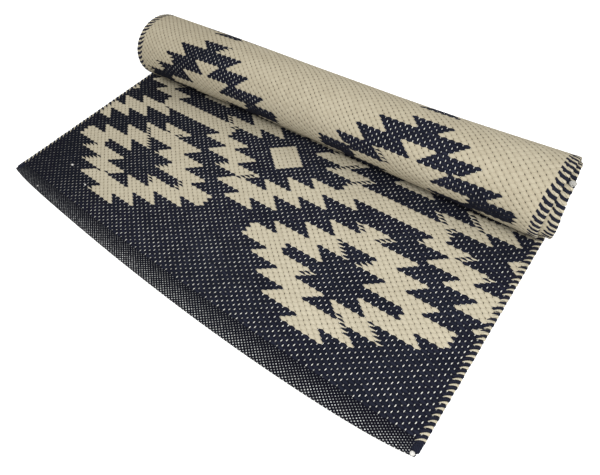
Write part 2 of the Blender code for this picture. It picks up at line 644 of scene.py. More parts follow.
class WeaveGroups:
    """The shader node groups that both faces of the cloth share."""

    def __init__(self, draft: Draft) -> None:
        """Builds the groups for one draft."""
        self.draft = draft
        self.bead = self.make_bead()
        self.tie = self.make_tie()
        self.figure = self.make_figure()
        self.yarn = self.make_yarn()

    def make_bead(self) -> bpy.types.NodeTree:
        """The float that a point belongs to.

        Floats lie in brick bond. The line between two rows is scalloped: it rises over the middle of each
        float below it by a cosine of the place across, so each float is a lens with rounded sides.

        Returns:
            A group whose outputs are the float's middle, the place within it and its half height.
        """
        g = Group("bead", {"Weave": "vector", "Scallop": "value"},
                  {"Middle": "vector", "Across": "value", "Up": "value", "Random": "value"})
        across, pick, _ = g.split(g["Weave"])
        line = g.math("ROUND", pick)
        below = g.minus(line, 1.0)
        phase = g.minus(g.times(across, FULL_TURN), g.times(below, np.pi))
        edge = g.scaled(g.math("COSINE", phase), g["Scallop"], line)
        row = g.plus(below, g.math("GREATER_THAN", pick, edge))
        half_row = g.times(row, 0.5)
        middle = g.plus(g.math("ROUND", g.minus(across, half_row)), half_row)
        middle_up = g.plus(row, 0.5)
        beside = g.minus(across, middle)
        wave = g.math("COSINE", g.times(beside, FULL_TURN))
        half_height = g.scaled(wave, g["Scallop"], 0.5)
        centre = g.vector(middle, middle_up)
        g.put("Middle", centre)
        g.put("Across", beside)
        g.put("Up", g.math("DIVIDE", g.minus(pick, middle_up), half_height))
        g.put("Random", g.random(centre))
        return g.tree

    def make_tie(self) -> bpy.types.NodeTree:
        """The warp tie nearest to a point: ties stand between the ends of neighbouring floats.

        Returns:
            A group whose outputs are the distance to the tie across and along, and its random value.
        """
        g = Group("tie", {"Weave": "vector"}, {"Across": "value", "Up": "value", "Random": "value"})
        across, pick, _ = g.split(g["Weave"])
        row = g.math("FLOOR", pick)
        start = g.scaled(row, 0.5, 0.5)
        middle = g.plus(g.math("ROUND", g.minus(across, start)), start)
        middle_up = g.plus(row, 0.5)
        g.put("Across", g.minus(across, middle))
        g.put("Up", g.minus(pick, middle_up))
        g.put("Random", g.random(g.vector(middle, middle_up, 7.0)))
        return g.tree

    def chart(self, g: Group, bands: tuple[MotifBand, ...], pick: Socket) -> tuple[Socket, Socket]:
        """Looks up a figure's chart.

        Args:
            g: The group that the nodes go to.
            bands: The figure's bands, from its middle outwards.
            pick: Picks from the figure's middle, counted from 1.

        Returns:
            The cream's outer and inner reach at that pick, in beads.
        """
        size = self.draft.chart_size
        ramp = g.node("ShaderNodeValToRGB")
        ramp.color_ramp.interpolation = "CONSTANT"
        stops = ramp.color_ramp.elements
        while len(stops) < len(bands):
            stops.new(0.5)
        for stop, band in zip(stops, bands):
            stop.position = max(0.0, (band.first_pick - 0.5) / size)
            stop.color = (band.outer / size, band.inner / size, band.first_pick / size, band.growth)
        g.feed(ramp.inputs[0], g.math("DIVIDE", pick, size))
        split = g.node("ShaderNodeSeparateColor")
        g.feed(split.inputs[0], ramp.outputs["Color"])
        outer_start, inner_start, first = split.outputs
        past = g.minus(pick, g.times(first, size))
        grown = g.times(past, ramp.outputs["Alpha"])
        outer = g.scaled(outer_start, size, grown)
        inner = g.scaled(inner_start, size, grown)
        hollow = g.math("GREATER_THAN", inner_start, 0.25 / size)
        solid = g.minus(g.times(hollow, 2.0), 1.0)
        return outer, g.math("MINIMUM", g.times(inner, hollow), g.times(solid, size))

    def folded(self, g: Group, across: Socket, middle: float) -> Socket:
        """Distance across from the nearest figure of a row that repeats from middle."""
        moved = g.minus(across, middle)
        turns = g.math("ROUND", g.math("DIVIDE", moved, self.draft.repeat))
        back = g.times(turns, self.draft.repeat)
        return g.math("ABSOLUTE", g.minus(moved, back))

    def make_figure(self) -> bpy.types.NodeTree:
        """The kilim's figures: how deep inside the cream a float lies, in beads.

        The draft is a mirror image about its middle pick, and each row of small medallions is one about
        the row of large ones. Cream lies where the depth is above 0.

        Returns:
            A group with the float's middle as input and the depth as output.
        """
        draft = self.draft
        g = Group("figure", {"Middle": "vector"}, {"Depth": "value"})
        across, pick, _ = g.split(g["Middle"])
        from_mirror = g.math("ABSOLUTE", g.minus(pick, draft.mirror_pick))
        from_large = g.math("ABSOLUTE", g.minus(from_mirror, draft.large_from_mirror))
        from_small = g.math("ABSOLUTE", g.minus(from_large, draft.small_from_large))
        large_pick = g.plus(from_large, 0.5)
        small_pick = g.plus(from_small, 0.5)
        beside_large = self.folded(g, across, draft.large_middle)
        beside_small = self.folded(g, across, draft.large_middle + draft.repeat / 2.0)
        depths = []
        for bands, picks, beside in ((draft.small, small_pick, beside_small),
                                     (draft.large, large_pick, beside_large)):
            outer, inner = self.chart(g, bands, picks)
            depths.append(g.math("MINIMUM", g.minus(outer, beside),
                                 g.minus(beside, inner)))
        narrowing = g.scaled(large_pick, -0.5, draft.diamond + 0.5)
        diamond = g.minus(narrowing, beside_large)
        g.put("Depth", g.math("MAXIMUM", g.math("MAXIMUM", *depths), diamond))
        return g.tree

    def make_yarn(self) -> bpy.types.NodeTree:
        """The form of the yarn in a float.

        The crown falls to the float's ends, the plies are fine slanted ridges, and the ribs run slanting
        through every second float, once for each bead across and each two picks along.

        Returns:
            A group whose outputs are the crown, the plies, the groove and the rib, each from 0 to 1.
        """
        g = Group("yarn", {"Weave": "vector", "Lean": "value", "Across": "value", "Up": "value",
                           "Random": "value"},
                  {"Crown": "value", "Plies": "value", "Groove": "value", "Rib": "value"})
        beads, picks, _ = g.split(g["Weave"])
        leaning = g.times(g.minus(picks, 0.5), g["Lean"])
        diagonal = g.scaled(beads, 2.0, leaning)
        wave = g.math("COSINE", g.times(diagonal, np.pi))
        g.put("Rib", g.scaled(wave, 0.5, 0.5))
        side = g.minus(1.0, g.math("POWER", g.math("ABSOLUTE", g["Up"]), 2.4))
        end = g.minus(1.0, g.math("POWER", g.times(g.math("ABSOLUTE", g["Across"]), 2.0), 4.0))
        crown = g.times(side, end, clamp=True)
        slope = g.scaled(g["Across"], 34.0, g.times(g["Up"], 3.0))
        twisted = g.scaled(g["Random"], 6.0, slope)
        g.put("Crown", crown)
        g.put("Plies", g.scaled(g.math("SINE", twisted), 0.5, 0.5))
        g.put("Groove", g.rise(crown, 0.55, 0.05))
        return g.tree


@dataclass(frozen=True)
class YarnColours:
    """The dyed yarns, as linear colours."""

    navy: Colour = (0.0035, 0.0040, 0.0075, 1.0)
    # Painted highlight: the light tone laid on the navy floats' crowns. It is also the light end of the navy
    # loops' yarn.
    navy_light: Colour = (0.0190, 0.0215, 0.0360, 1.0)
    cream: Colour = (0.545, 0.500, 0.385, 1.0)
    cream_shade: Colour = (0.300, 0.262, 0.185, 1.0)
    tie_light: Colour = (0.640, 0.630, 0.580, 1.0)
    tie_dark: Colour = (0.030, 0.022, 0.014, 1.0)
    band_dot: Colour = (0.620, 0.630, 0.620, 1.0)
    cut_edge: Colour = (0.420, 0.410, 0.380, 1.0)
    lint: Colour = (0.700, 0.690, 0.660, 1.0)
    knot_dark: Colour = (0.240, 0.235, 0.215, 1.0)
    # Painted shade: the near-black laid over the cloth in the narrowing gap under the roll.
    painted_shade_black: Colour = (0.0040, 0.0035, 0.0030, 1.0)


def new_material(name: str, roughness: float, sheen: float) -> tuple[Canvas, bpy.types.Node]:
    """Starts a material.

    Args:
        name: The material's name.
        roughness: The shader's roughness where no node gives it.
        sheen: The weight of the fuzz's sheen.

    Returns:
        The material's canvas and its Principled BSDF.
    """
    material = bpy.data.materials.new(name)
    material.use_nodes = True
    shader = material.node_tree.nodes["Principled BSDF"]
    shader.inputs["Roughness"].default_value = roughness
    shader.inputs["Sheen Weight"].default_value = sheen
    shader.inputs["Specular IOR Level"].default_value = 0.04
    return Canvas(material.node_tree), shader


@dataclass(frozen=True)
class TieForm:
    """The warp ties in beads and picks: light dots on navy and dark specks on cream.

    A pair named for a size or a strength is a factor and what is added to it. The others are the two
    ends of a rise.
    """

    half_width: float = 0.055
    half_height: tuple[float, float] = (0.20, 0.26)
    slant: float = -0.05
    brightness: tuple[float, float] = (0.60, 0.50)
    # Painted shade: the dots' dimming towards the left selvedge.
    left_rise: tuple[float, float] = (-36.0, -6.0)
    left_brightness: tuple[float, float] = (0.72, 0.28)
    speck_half_width: float = 0.125
    speck_half_height: float = 0.17
    speck_slant: float = 1.5
    speck_rise: tuple[float, float] = (-0.35, 0.75)


@dataclass(frozen=True)
class BandForm:
    """The end bands' dots, at half the spacing of the ties. Its pairs are those of the ties' form."""

    to_front_rise: tuple[float, float] = (0.6, -6.0)
    half_width: tuple[float, float] = (0.06, 0.11)
    half_height: tuple[float, float] = (0.10, 0.26)
    brightness: tuple[float, float] = (0.65, 0.30)
    front_brightness: tuple[float, float] = (0.50, 0.50)
    # Painted shade: the band's dots dim towards the left selvedge.
    left_rise: tuple[float, float] = (-34.0, -4.0)
    left_brightness: tuple[float, float] = (0.50, 0.50)
    relief: float = 0.5


@dataclass(frozen=True)
class WovenFinish:
    """One face of the cloth, with its ground in one colour and its figures in the other.

    The cream's darkening value darkens the cream evenly. It is larger on the reverse, which is greyer than
    the face: there the extra darkening is painted shade for the roll, where the reverse shows.
    """

    name: str
    ground: Ground
    colours: YarnColours = YarnColours()
    ties: TieForm = TieForm()
    band: BandForm = BandForm()
    scallop: float = 0.19
    comb_share: float = 0.60
    comb_cut: float = -0.20
    cream_tone_and_shade: float = 0.0
    cream_level: float = 0.46
    # Painted shade in the cream: towards the left selvedge, in the grooves at the floats' ends, in the rib
    # hollows and between the plies. The lot change is random tone.
    cream_left_shade: float = 0.10
    cream_lot_change: float = -0.40
    cream_groove_shade: float = 0.14
    cream_hollow_shade: float = 0.14
    cream_ply_shade: float = 0.08
    bump_strength: float = 0.8
    bump_height: float = 0.0009
    # Painted shade of the gap under the roll: its picks, its bow to the left and its strength.
    contact_picks: tuple[float, float, float] = (70.3, 75.5, 80.0)
    contact_bead: float = 20.0
    contact_bow: float = 0.0008
    contact_strength: float = 0.90
    # Painted shade: on the reverse the light dots fade out between these picks towards the line of contact.
    ties_shaded_out_from: float = 141.0
    ties_unshaded_to: float = 132.0

    def make(self, groups: WeaveGroups, plan: PickPlan) -> bpy.types.Material:
        """Makes the material.

        Args:
            groups: The shared node groups.
            plan: The plan, for the number of picks.

        Returns:
            The material.
        """
        canvas, shader = new_material(self.name, 0.92, 0.005)
        place = canvas.node("ShaderNodeUVMap", uv_map="weave")
        weave = place.outputs[0]
        across, pick, _ = canvas.split(weave)
        bead = canvas.use(groups.bead, Weave=weave, Scallop=self.scallop)
        depth = canvas.use(groups.figure, Middle=bead.outputs["Middle"]).outputs["Depth"]
        cream_mask = self.cream_mask(canvas, bead, depth)
        yarn = canvas.use(groups.yarn, Weave=weave, Lean=self.lean(), Across=bead.outputs["Across"],
                          Up=bead.outputs["Up"], Random=bead.outputs["Random"])
        tie = canvas.use(groups.tie, Weave=weave)
        colour = self.bead_colour(canvas, bead, yarn, cream_mask, weave)
        colour, tie_mask = self.tie_colour(canvas, tie, cream_mask, colour, weave)
        waver = canvas.scaled(canvas.noise(weave, 0.9, 2.0), 1.5, -0.75)
        band = self.band_mask(canvas, canvas.plus(pick, waver), plan)
        band_colour, band_height = self.band_colour(canvas, groups, weave)
        colour = canvas.mix(band, colour, band_colour)
        # The painted shade of the gap under the roll takes the colour towards near-black.
        shade = self.contact_shade(canvas, across, pick)
        canvas.feed(shader.inputs["Base Color"], canvas.mix(shade, colour, self.colours.painted_shade_black))
        height = self.height(canvas, yarn, tie_mask)
        band_mixed = canvas.scaled(band, canvas.minus(band_height, height), height)
        fibre = canvas.noise(canvas.vector(canvas.times(across, 2.6), pick), 9.0, 3.0)
        bump = canvas.node("ShaderNodeBump")
        bump.inputs["Strength"].default_value = self.bump_strength
        bump.inputs["Distance"].default_value = self.bump_height
        canvas.feed(bump.inputs["Height"], canvas.scaled(fibre, 0.35, band_mixed))
        canvas.feed(shader.inputs["Normal"], bump.outputs["Normal"])
        canvas.feed(shader.inputs["Roughness"], canvas.scaled(yarn.outputs["Plies"], 0.08, 0.88))
        return bpy.data.materials[self.name]

    def lean(self) -> float:
        """The way the yarn slants in the weave's counts, which are mirrored on the reverse."""
        return 1.0 if self.ground is Ground.NAVY else -1.0

    def cream_mask(self, canvas: Canvas, bead: bpy.types.Node, depth: Socket) -> Socket:
        """Where the face is cream.

        Along some edges the last float of a figure is only half as tall, with the other colour above it,
        so that the edge looks like a comb. Slow noise over the floats' middles picks those edges.
        """
        inside = canvas.math("GREATER_THAN", depth, 0.0)
        last = canvas.math("LESS_THAN", depth, 0.95)
        where = canvas.noise(bead.outputs["Middle"], 0.085, 0.0)
        combed = canvas.math("GREATER_THAN", where, self.comb_share)
        upper = canvas.math("GREATER_THAN", bead.outputs["Up"], self.comb_cut)
        gap = canvas.times(canvas.times(last, combed), upper)
        figure = canvas.minus(inside, gap, clamp=True)
        if self.ground is Ground.NAVY:
            return figure
        return canvas.minus(1.0, figure)

    def bead_colour(self, canvas: Canvas, bead: bpy.types.Node, yarn: bpy.types.Node,
                    cream: Socket, weave: Socket) -> Socket:
        """The yarns' colour, with painted shade in the grooves, the rib hollows and between the plies, a
        random change from float to float and a slow, uneven tone.

        Towards the left selvedge, as painted shade, the navy has less of its light tone and the cream more of
        its shade.
        """
        beads, _, _ = canvas.split(weave)
        slow = canvas.noise(weave, 0.11, 3.0)
        lot = canvas.scaled(bead.outputs["Random"], 0.30, canvas.times(slow, 0.7))
        # Painted shade: the navy's crown highlight falls off towards the left selvedge.
        light_falloff_to_left = canvas.scaled(canvas.rise(beads, -34.0, 0.0), 0.7, 0.3)
        # Painted highlight: the navy's light tone on the floats' crowns, varied at random from float to
        # float.
        navy_share = canvas.times(yarn.outputs["Crown"], canvas.times(lot, light_falloff_to_left))
        navy = canvas.mix(navy_share, self.colours.navy, self.colours.navy_light)
        # Painted shade in the grooves, the rib hollows and between the plies darkens the cream, and the lot
        # adds random tone.
        hollow = canvas.minus(1.0, yarn.outputs["Rib"])
        # Painted shade: the cream darkens towards the left selvedge.
        left = canvas.rise(beads, 0.0, -30.0)
        shade = canvas.scaled(left, self.cream_left_shade, self.cream_level + self.cream_tone_and_shade)
        for value, weight in ((lot, self.cream_lot_change),
                              (yarn.outputs["Groove"], self.cream_groove_shade),
                              (hollow, self.cream_hollow_shade)):
            shade = canvas.scaled(value, weight, shade)
        shade = canvas.scaled(yarn.outputs["Plies"], self.cream_ply_shade, shade, clamp=True)
        light = canvas.mix(shade, self.colours.cream, self.colours.cream_shade)
        return canvas.mix(cream, navy, light)

    def tie_colour(self, canvas: Canvas, tie: bpy.types.Node, cream: Socket,
                   under: Socket, weave: Socket) -> tuple[Socket, Socket]:
        """Adds the warp ties: light dots on navy and small dark specks on cream.

        As painted shade, the dots are dimmer to the left, and on the reverse they fade out towards the line
        of contact.

        Args:
            canvas: The material's canvas.
            tie: The placed tie group.
            cream: Where the face is cream.
            under: The colour of the floats.
            weave: Beads across and picks along.

        Returns:
            The colour with the ties, and where the light dots are.
        """
        form = self.ties
        beads, pick, _ = canvas.split(weave)
        across, up, chance = tie.outputs["Across"], tie.outputs["Up"], tie.outputs["Random"]
        leaning = canvas.scaled(up, form.slant, across)
        dot = self.oval(canvas, leaning, up, form.half_width, canvas.scaled(chance, *form.half_height))
        bright = canvas.scaled(chance, *form.brightness, clamp=True)
        # Painted shade: the dots dim towards the left selvedge and, on the reverse, fade out towards the line
        # of contact.
        dimmed = canvas.scaled(canvas.rise(beads, *form.left_rise), *form.left_brightness)
        if self.ground is Ground.CREAM:
            dimmed = canvas.times(dimmed, canvas.rise(pick, self.ties_shaded_out_from, self.ties_unshaded_to))
        strength = canvas.times(bright, dimmed)
        light_dot = canvas.times(dot, canvas.times(strength, canvas.minus(1.0, cream)))
        slanted = canvas.scaled(across, form.speck_slant * self.lean(), up)
        speck = self.oval(canvas, across, slanted, form.speck_half_width, form.speck_half_height)
        speck_strength = canvas.rise(chance, *form.speck_rise)
        dark_speck = canvas.times(speck, canvas.times(speck_strength, cream))
        with_dots = canvas.mix(light_dot, under, self.colours.tie_light)
        return canvas.mix(dark_speck, with_dots, self.colours.tie_dark), light_dot

    def oval(self, canvas: Canvas, across: Socket, up: Socket,
             half_width: Value, half_height: Value) -> Socket:
        """A soft-edged oval: 1 in its middle and 0 outside it."""
        x = canvas.math("DIVIDE", across, half_width)
        y = canvas.math("DIVIDE", up, half_height)
        square = canvas.scaled(x, x, canvas.times(y, y))
        return canvas.rise(square, 1.25, 0.45)

    def contact_shade(self, canvas: Canvas, beads: Socket, pick: Socket) -> Socket:
        """Dark painted shade in the narrowing gap under the roll, from where it opens to the contact.

        The roll's lowest line lies nearer the front at its left end, by the square of the distance from
        one bead.
        """
        first, middle, last = self.contact_picks
        aside = canvas.minus(beads, self.contact_bead)
        place = canvas.scaled(canvas.times(aside, aside), self.contact_bow, pick)
        rise = canvas.rise(place, first, middle)
        fall = canvas.rise(place, last, last - 1.0)
        return canvas.times(canvas.times(rise, fall), self.contact_strength)

    def band_mask(self, canvas: Canvas, pick: Socket, plan: PickPlan) -> Socket:
        """1 in the end bands, before the first pick and after the last one."""
        before = canvas.math("LESS_THAN", pick, 0.0)
        after = canvas.math("GREATER_THAN", pick, float(plan.picks))
        return canvas.plus(before, after)

    def band_colour(self, canvas: Canvas, groups: WeaveGroups, weave: Socket) -> tuple[Socket, Socket]:
        """The end band's finer weave: light dots at half the spacing.

        The dots are brighter and larger towards the front end and, as painted shade, dimmer towards the left
        selvedge.
        """
        across, pick, _ = canvas.split(weave)
        fine = canvas.vector(canvas.times(across, 2.0), canvas.times(pick, 2.0))
        tie = canvas.use(groups.tie, Weave=fine)
        form = self.band
        to_front = canvas.rise(pick, *form.to_front_rise)
        wide = canvas.scaled(to_front, *form.half_width)
        tall = canvas.scaled(to_front, *form.half_height)
        dot = self.oval(canvas, tie.outputs["Across"], tie.outputs["Up"], wide, tall)
        chance = canvas.scaled(tie.outputs["Random"], *form.brightness)
        strength = canvas.times(chance, canvas.scaled(to_front, *form.front_brightness))
        # Painted shade: the band's dots dim towards the left selvedge.
        dimmed = canvas.scaled(canvas.rise(across, *form.left_rise), *form.left_brightness)
        mask = canvas.times(dot, canvas.times(strength, dimmed))
        colour = canvas.mix(mask, self.colours.navy, self.colours.band_dot)
        return colour, canvas.times(dot, form.relief)

    def height(self, canvas: Canvas, yarn: bpy.types.Node, tie_mask: Socket) -> Socket:
        """Relief of the weave: crowns, plies and proud ties."""
        plies = canvas.times(yarn.outputs["Plies"], 0.16)
        ribs = canvas.scaled(yarn.outputs["Rib"], 0.30, plies)
        crown = canvas.scaled(yarn.outputs["Crown"], 0.8, ribs)
        return canvas.scaled(tie_mask, 0.6, crown)


@dataclass(frozen=True)
class YarnFinish:
    """Plain dyed yarn, twisted, for loops, knots and loose ends."""

    name: str
    light: Colour
    dark: Colour
    twist_scale: float = 1240.0
    ply_share: float = 0.35
    bump_strength: float = 0.5
    bump_height: float = 0.0004

    def make(self) -> bpy.types.Material:
        """Makes the material: plies as fine slanted waves on Object coordinates, and slow noise."""
        canvas, shader = new_material(self.name, 0.9, 0.02)
        place = canvas.node("ShaderNodeTexCoord").outputs["Object"]
        x, y, z = canvas.split(place)
        along = canvas.plus(canvas.plus(x, y), z)
        waves = canvas.math("SINE", canvas.times(along, self.twist_scale))
        plies = canvas.scaled(waves, 0.5, 0.5)
        slow = canvas.noise(place, 120.0, 3.0)
        share = canvas.scaled(plies, self.ply_share, canvas.times(slow, 1.0 - self.ply_share), clamp=True)
        canvas.feed(shader.inputs["Base Color"], canvas.mix(share, self.dark, self.light))
        bump = canvas.node("ShaderNodeBump")
        bump.inputs["Strength"].default_value = self.bump_strength
        bump.inputs["Distance"].default_value = self.bump_height
        canvas.feed(bump.inputs["Height"], plies)
        canvas.feed(shader.inputs["Normal"], bump.outputs["Normal"])
        return bpy.data.materials[self.name]


@dataclass
class KilimCloth:
    """The woven panel as one closed sheet whose points stand on the weave.

    Columns lie half a bead apart and rows one pick apart, so every other point is the crown of a float and
    the points between them are the hollows at the floats' ends.
    """

    plan: PickPlan
    crown: float = 0.00245
    hollow: float = 0.00165
    band_half: float = 0.0015
    near_rim_half: float = 0.0017
    rim_half: float = 0.0009
    rest_half: float = 0.00245
    unevenness: float = 0.00010
    wander: float = 0.00028
    seed: int = 11

    def half_thickness(self, across: Array, pick: Array) -> Array:
        """Distance from the middle surface to the weave, for the grid's points.

        Args:
            across: Places across, in half beads, which are whole numbers.
            pick: Pick numbers of the rows.

        Returns:
            The crown's height where column and row differ in parity, the hollow's elsewhere, less in the
            end bands and next to the selvedges.
        """
        row = np.floor(pick)
        woven = (pick > 0.0) & (pick < self.plan.picks)
        odd = (across[:, None] - row[None, :]) % 2 == 1
        half = np.where(odd, self.crown, self.hollow)
        rng = np.random.default_rng(self.seed)
        half = half + rng.uniform(-self.unevenness, 0.0, half.shape)
        half = np.where(woven[None, :], half, self.band_half)
        from_edge = np.minimum(across, across[-1] - across)[:, None]
        half = np.where(from_edge == 1, np.minimum(half, self.near_rim_half), half)
        return np.where(from_edge == 0, self.rim_half, half)

    def build(self, materials: Sequence[bpy.types.Material]) -> bpy.types.Object:
        """Builds the piece.

        Args:
            materials: The face, the reverse and the cut edge.

        Returns:
            The cloth, with the UV map weave that holds beads across and picks along.
        """
        plan = self.plan
        half_beads = 2 * plan.beads
        columns = np.arange(half_beads + 1)
        across = columns / plan.beads - 1.0
        pick = plan.row_picks()
        points, sideways, lengthways, outwards = plan.surface(across, pick)
        half = self.half_thickness(columns, pick)
        rng = np.random.default_rng(self.seed + 1)
        drift = rng.uniform(-self.wander, self.wander, half.shape + (2,))
        drift[[0, -1]] = 0.0
        drift[:, [0, -1]] = 0.0
        points = points + sideways * drift[..., :1] + lengthways * drift[..., 1:]
        front = points + outwards * half[..., None]
        below = np.where((pick < 0.0)[None, :], self.rest_half, half)
        back = points - outwards * below[..., None]
        parts = MeshParts("kilim_cloth")
        self.add_sheets(parts, front, back)
        piece = parts.make(materials)
        beads = (across * plan.beads / 2.0)[:, None] + np.zeros(len(pick))
        uv = np.stack([beads, np.broadcast_to(pick, beads.shape)], axis=-1).reshape(-1, 2)
        write_uv(piece.data, "weave", np.concatenate([uv, uv]))
        return piece

    def add_sheets(self, parts: MeshParts, front: Array, back: Array) -> None:
        """Adds both faces and the strips that join them.

        Each patch of a face is cut from its upper left to its lower right corner.

        Args:
            parts: The mesh so far.
            front: Points of the face, by column and row.
            back: Points of the reverse, by column and row.
        """
        columns, rows = front.shape[:2]
        column, row = np.meshgrid(np.arange(columns - 1), np.arange(rows - 1), indexing="ij")
        a = (column * rows + row).ravel()
        b, c, d = a + rows, a + rows + 1, a + 1
        under = columns * rows
        face = np.concatenate([np.stack([a, b, d], 1), np.stack([b, c, d], 1)])
        reverse = np.concatenate([np.stack([a, d, b], 1), np.stack([b, d, c], 1)]) + under
        edge = np.arange(columns - 1) * rows
        side = np.arange(rows - 1)
        strips = [
            self.strip(edge, edge + rows, under),
            self.strip(edge + rows + rows - 1, edge + rows - 1, under),
            self.strip(side + 1, side, under),
            self.strip(side + (columns - 1) * rows, side + (columns - 1) * rows + 1, under),
        ]
        faces = np.concatenate([face, reverse, *strips])
        slots = np.concatenate([
            np.zeros(len(face)),
            np.ones(len(reverse)),
            np.full(len(strips[0]) + len(strips[1]), 2),
            np.ones(len(strips[2]) + len(strips[3])),
        ])
        parts.add(np.concatenate([front.reshape(-1, 3), back.reshape(-1, 3)]), faces, slots)

    @staticmethod
    def strip(first: Array, second: Array, under: int) -> Array:
        """Triangles between a line of the face, from first to second, and the same line of the reverse."""
        return np.concatenate([
            np.stack([first, first + under, second], 1),
            np.stack([second, first + under, second + under], 1),
        ])


@dataclass(frozen=True)
class LoopForm:
    """The form of one colour's loops round a selvedge, in metres.

    Each end has a reach in from the edge and a tip, which is the share of the full width left there.
    """

    reach_on_face: float
    tip_on_face: float
    reach_on_reverse: float
    tip_on_reverse: float
    half_width: float
    half_height: float = 0.00115
    overhang: float = 0.0021
    slant: float = 0.0078
    slant_power: float = 2.2
    straight_share: float = 0.40
    rise_over_middle: float = 0.0003
    rise_of_turn: float = 0.0016
    forward: float = 0.0012

    def route(self, steps: int) -> tuple[Array, Array, Array, Array]:
        """A loop's middle line in the edge's own directions.

        Args:
            steps: Number of points along it.

        Returns:
            Distance past the edge, height over the middle surface, lean along the edge and share of the
            full width: in from the face, round the edge in a half circle and back in on the reverse.
            Both ends lean back to the picks before, by a power of their distance from the edge.
        """
        t = np.linspace(0.0, 1.0, steps)
        from_middle = np.abs(t - 0.5)
        straight = self.straight_share
        turn = np.clip((t - straight) / (1.0 - 2.0 * straight), 0.0, 1.0) * np.pi
        on_face = np.clip((straight - t) / straight, 0.0, 1.0)
        on_reverse = np.clip((t - 1.0 + straight) / straight, 0.0, 1.0)
        reach = on_face * self.reach_on_face + on_reverse * self.reach_on_reverse
        past = self.overhang * np.sin(turn) - reach
        dive = smooth_step((from_middle - 0.36) / 0.14)
        height = (self.rise_over_middle + self.rise_of_turn * np.cos(turn)) * (1.0 - 0.50 * dive)
        lean = self.forward - self.slant * (from_middle * 2.0) ** self.slant_power
        width = 1.0 - (1.0 - self.tip_on_face) * smooth_step(on_face / 0.9)
        width = width * (1.0 - (1.0 - self.tip_on_reverse) * smooth_step(on_reverse / 0.9))
        return past, height, lean, width


@dataclass
class SelvedgeLoops:
    """The turned wefts at one selvedge: fat loops round the edge, one for each pick, cream and navy in turn.

    Each colour shows on the ground of the other, so cream reaches further in on the face and navy does on
    the reverse.
    """

    plan: PickPlan
    side: Side
    cream: LoopForm = LoopForm(0.0120, 0.45, 0.0100, 0.60, 0.0029)
    cream_left: LoopForm = LoopForm(0.0080, 0.50, 0.0100, 0.60, 0.0023)
    navy: LoopForm = LoopForm(0.0130, 0.60, 0.0175, 1.30, 0.0038)
    sides: int = 6
    steps: int = 15
    picks_from_corner: float = 2.2
    smallest: float = 0.86
    largest: float = 1.10
    most_moved: float = 0.0007
    inner_place: float = 0.985
    seed: int = 5

    def build(self, materials: Sequence[bpy.types.Material]) -> bpy.types.Object:
        """Builds the row of loops as one joined mesh.

        Args:
            materials: The cream and the navy yarn.

        Returns:
            The piece.
        """
        plan = self.plan
        band = np.arange(-plan.band_picks + self.picks_from_corner, 0.0, 1.0)
        pick = np.concatenate([band, np.arange(plan.picks) + 0.5])
        is_cream = (np.floor(pick) % 2 == 0) & (pick > 0.0)
        parts = MeshParts(f"selvedge_loops_{self.side.name.lower()}")
        cream = self.cream_left if self.side is Side.LEFT else self.cream
        for slot, (form, chosen) in enumerate(((cream, is_cream), (self.navy, ~is_cream))):
            self.add_loops(parts, form, pick[chosen], slot)
        return parts.make(materials)

    def add_loops(self, parts: MeshParts, form: LoopForm, pick: Array, slot: int) -> None:
        """Adds one colour's loops, each a flat tube along the form's route.

        Args:
            parts: The mesh so far.
            form: The loops' form.
            pick: The pick of each loop.
            slot: The material's number.
        """
        place = self.side.value
        points, _, lengthways, _ = self.plan.surface(np.array([place, place * self.inner_place]), pick)
        edge, along = points[0], lengthways[0]
        beyond = unit(points[0] - points[1])
        out = unit(np.cross(beyond, along)) * place
        rng = np.random.default_rng(self.seed + slot)
        size = rng.uniform(self.smallest, self.largest, len(pick))[:, None, None, None]
        moved = rng.uniform(-self.most_moved, self.most_moved, len(pick))[:, None, None, None]
        past, height, lean, width = form.route(self.steps)
        heading = unit(np.stack([np.gradient(past), np.gradient(height)], -1))
        ring = np.linspace(0.0, FULL_TURN, self.sides, endpoint=False)
        flat = (form.half_height * (0.35 + 0.65 * width))[:, None] * np.cos(ring)
        broad = (form.half_width * width)[:, None] * np.sin(ring)
        ring_past = (past[:, None] - heading[:, 1:2] * flat)[None, ..., None]
        ring_height = (height[:, None] + heading[:, 0:1] * flat)[None, ..., None]
        ring_along = (lean[:, None] + broad)[None, ..., None]
        loops = (edge[:, None, None] + size * ring_past * beyond[:, None, None]
                 + ring_height * out[:, None, None] + (size * ring_along + moved) * along[:, None, None])
        faces = tube_faces(self.steps, self.sides)
        if self.side is Side.RIGHT:
            faces = faces[:, ::-1]
        starts = np.arange(len(pick)) * self.steps * self.sides
        parts.add(loops.reshape(-1, 3), (faces[None] + starts[:, None, None]).reshape(-1, 3), slot)


@dataclass(frozen=True)
class Knot:
    """One small ball of yarn: its place on the cloth, its sizes in metres and its yarn's number."""

    across: float
    pick: float
    height: float
    radius: float
    strand: float
    slot: int


